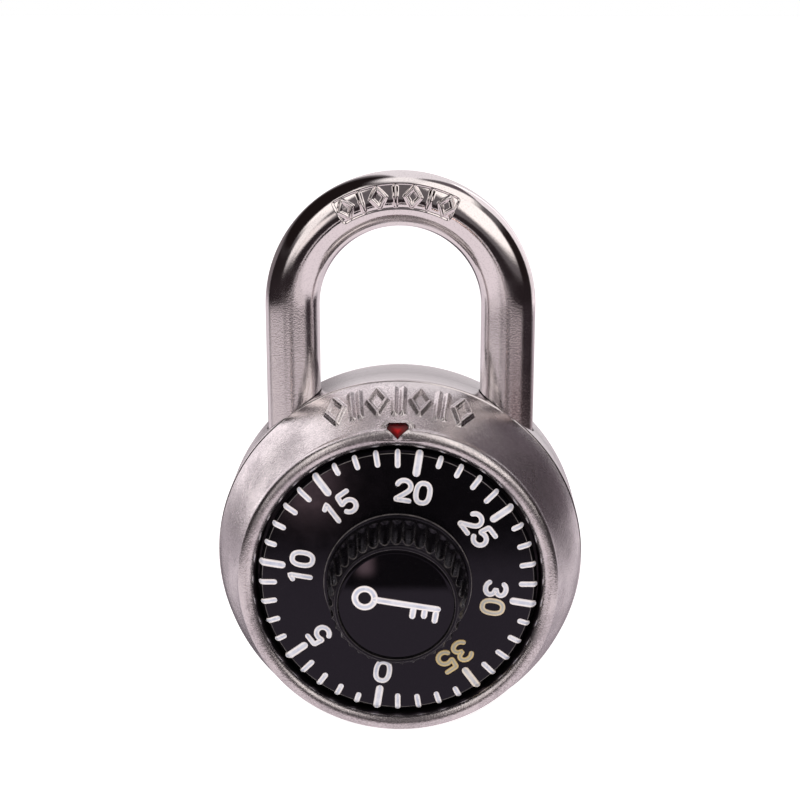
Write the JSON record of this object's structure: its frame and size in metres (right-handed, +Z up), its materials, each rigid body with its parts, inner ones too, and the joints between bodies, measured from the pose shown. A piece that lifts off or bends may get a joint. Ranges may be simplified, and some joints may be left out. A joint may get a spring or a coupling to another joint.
{
  "type": "combination padlock",
  "caption": "Combination padlock: round steel case, numbered dial with a fluted knob that turns, and a U-shaped steel shackle that slides up to open.",
  "frame": {"origin": "centre of the case's back face, on the dial's axis", "axes": "+Y out of the back face, -Y the way the dial faces, +Z up along the shackle, +X towards the leg that comes free"},
  "size_m": [0.048, 0.026, 0.0744],
  "materials": {
    "case_steel": "satin",
    "inner_steel": "zinc plated",
    "cover_steel": "satin",
    "index_red": "glossy red",
    "washer_brass": "satin",
    "spring_steel": "drawn wire",
    "dial_black": "glossy",
    "knob_black": "glossy",
    "cap_black": "glossy",
    "wheel_brass": "stamped",
    "shackle_steel": "bright",
    "lever_steel": "stamped"
  },
  "bodies": {
    "case": {"outer_shell": "case_steel", "inner_case": "inner_steel", "back_cover": "cover_steel", "index_marker": "index_red", "center_post": "inner_steel", "thrust_washer": "washer_brass", "front_spacer": "washer_brass", "rear_spacer": "washer_brass", "wave_spring": "spring_steel", "end_washer": "washer_brass", "lever_pin": "inner_steel", "heel_pin": "inner_steel", "latch_guide": "inner_steel", "lever_spring": "spring_steel", "latch_spring": "spring_steel"},
    "dial": {"dial_plate": "dial_black", "knob": "knob_black", "knob_cap": "cap_black", "spindle": "inner_steel", "drive_wheel": "wheel_brass"},
    "middle_wheel": {"middle_wheel": "wheel_brass"},
    "rear_wheel": {"rear_wheel": "wheel_brass"},
    "shackle": {"shackle": "shackle_steel"},
    "lever": {"locking_lever": "lever_steel"},
    "latch": {"latch_bolt": "lever_steel"}
  },
  "joints": [
    {"name": "dial_spin", "type": "hinge", "parent": "case", "child": "dial", "pos_m": [0, -0.015, 0], "axis": [0, 1, 0], "continuous": true},
    {"name": "middle_wheel_spin", "type": "hinge", "parent": "dial", "child": "middle_wheel", "pos_m": [0, -0.0107, 0], "axis": [0, 1, 0], "range_deg": [-165, 165]},
    {"name": "rear_wheel_spin", "type": "hinge", "parent": "middle_wheel", "child": "rear_wheel", "pos_m": [0, -0.0085, 0], "axis": [0, 1, 0], "range_deg": [-165, 165]},
    {"name": "shackle_lift", "type": "slide", "parent": "case", "child": "shackle", "axis": [0, 0, 1], "range_m": [0, 0.011]},
    {"name": "latch_slide", "type": "slide", "parent": "case", "child": "latch", "axis": [-1, 0, 0], "range_m": [0, 0.00275]},
    {"name": "lever_play", "type": "hinge", "parent": "case", "child": "lever", "pos_m": [-0.007, -0.0091, 0.0155], "axis": [0, 1, 0], "range_deg": [0, 1.5]}
  ],
  "couplings": [
    {"joint": "latch_slide", "follows": "shackle_lift", "ratio": 0.25}
  ]
}
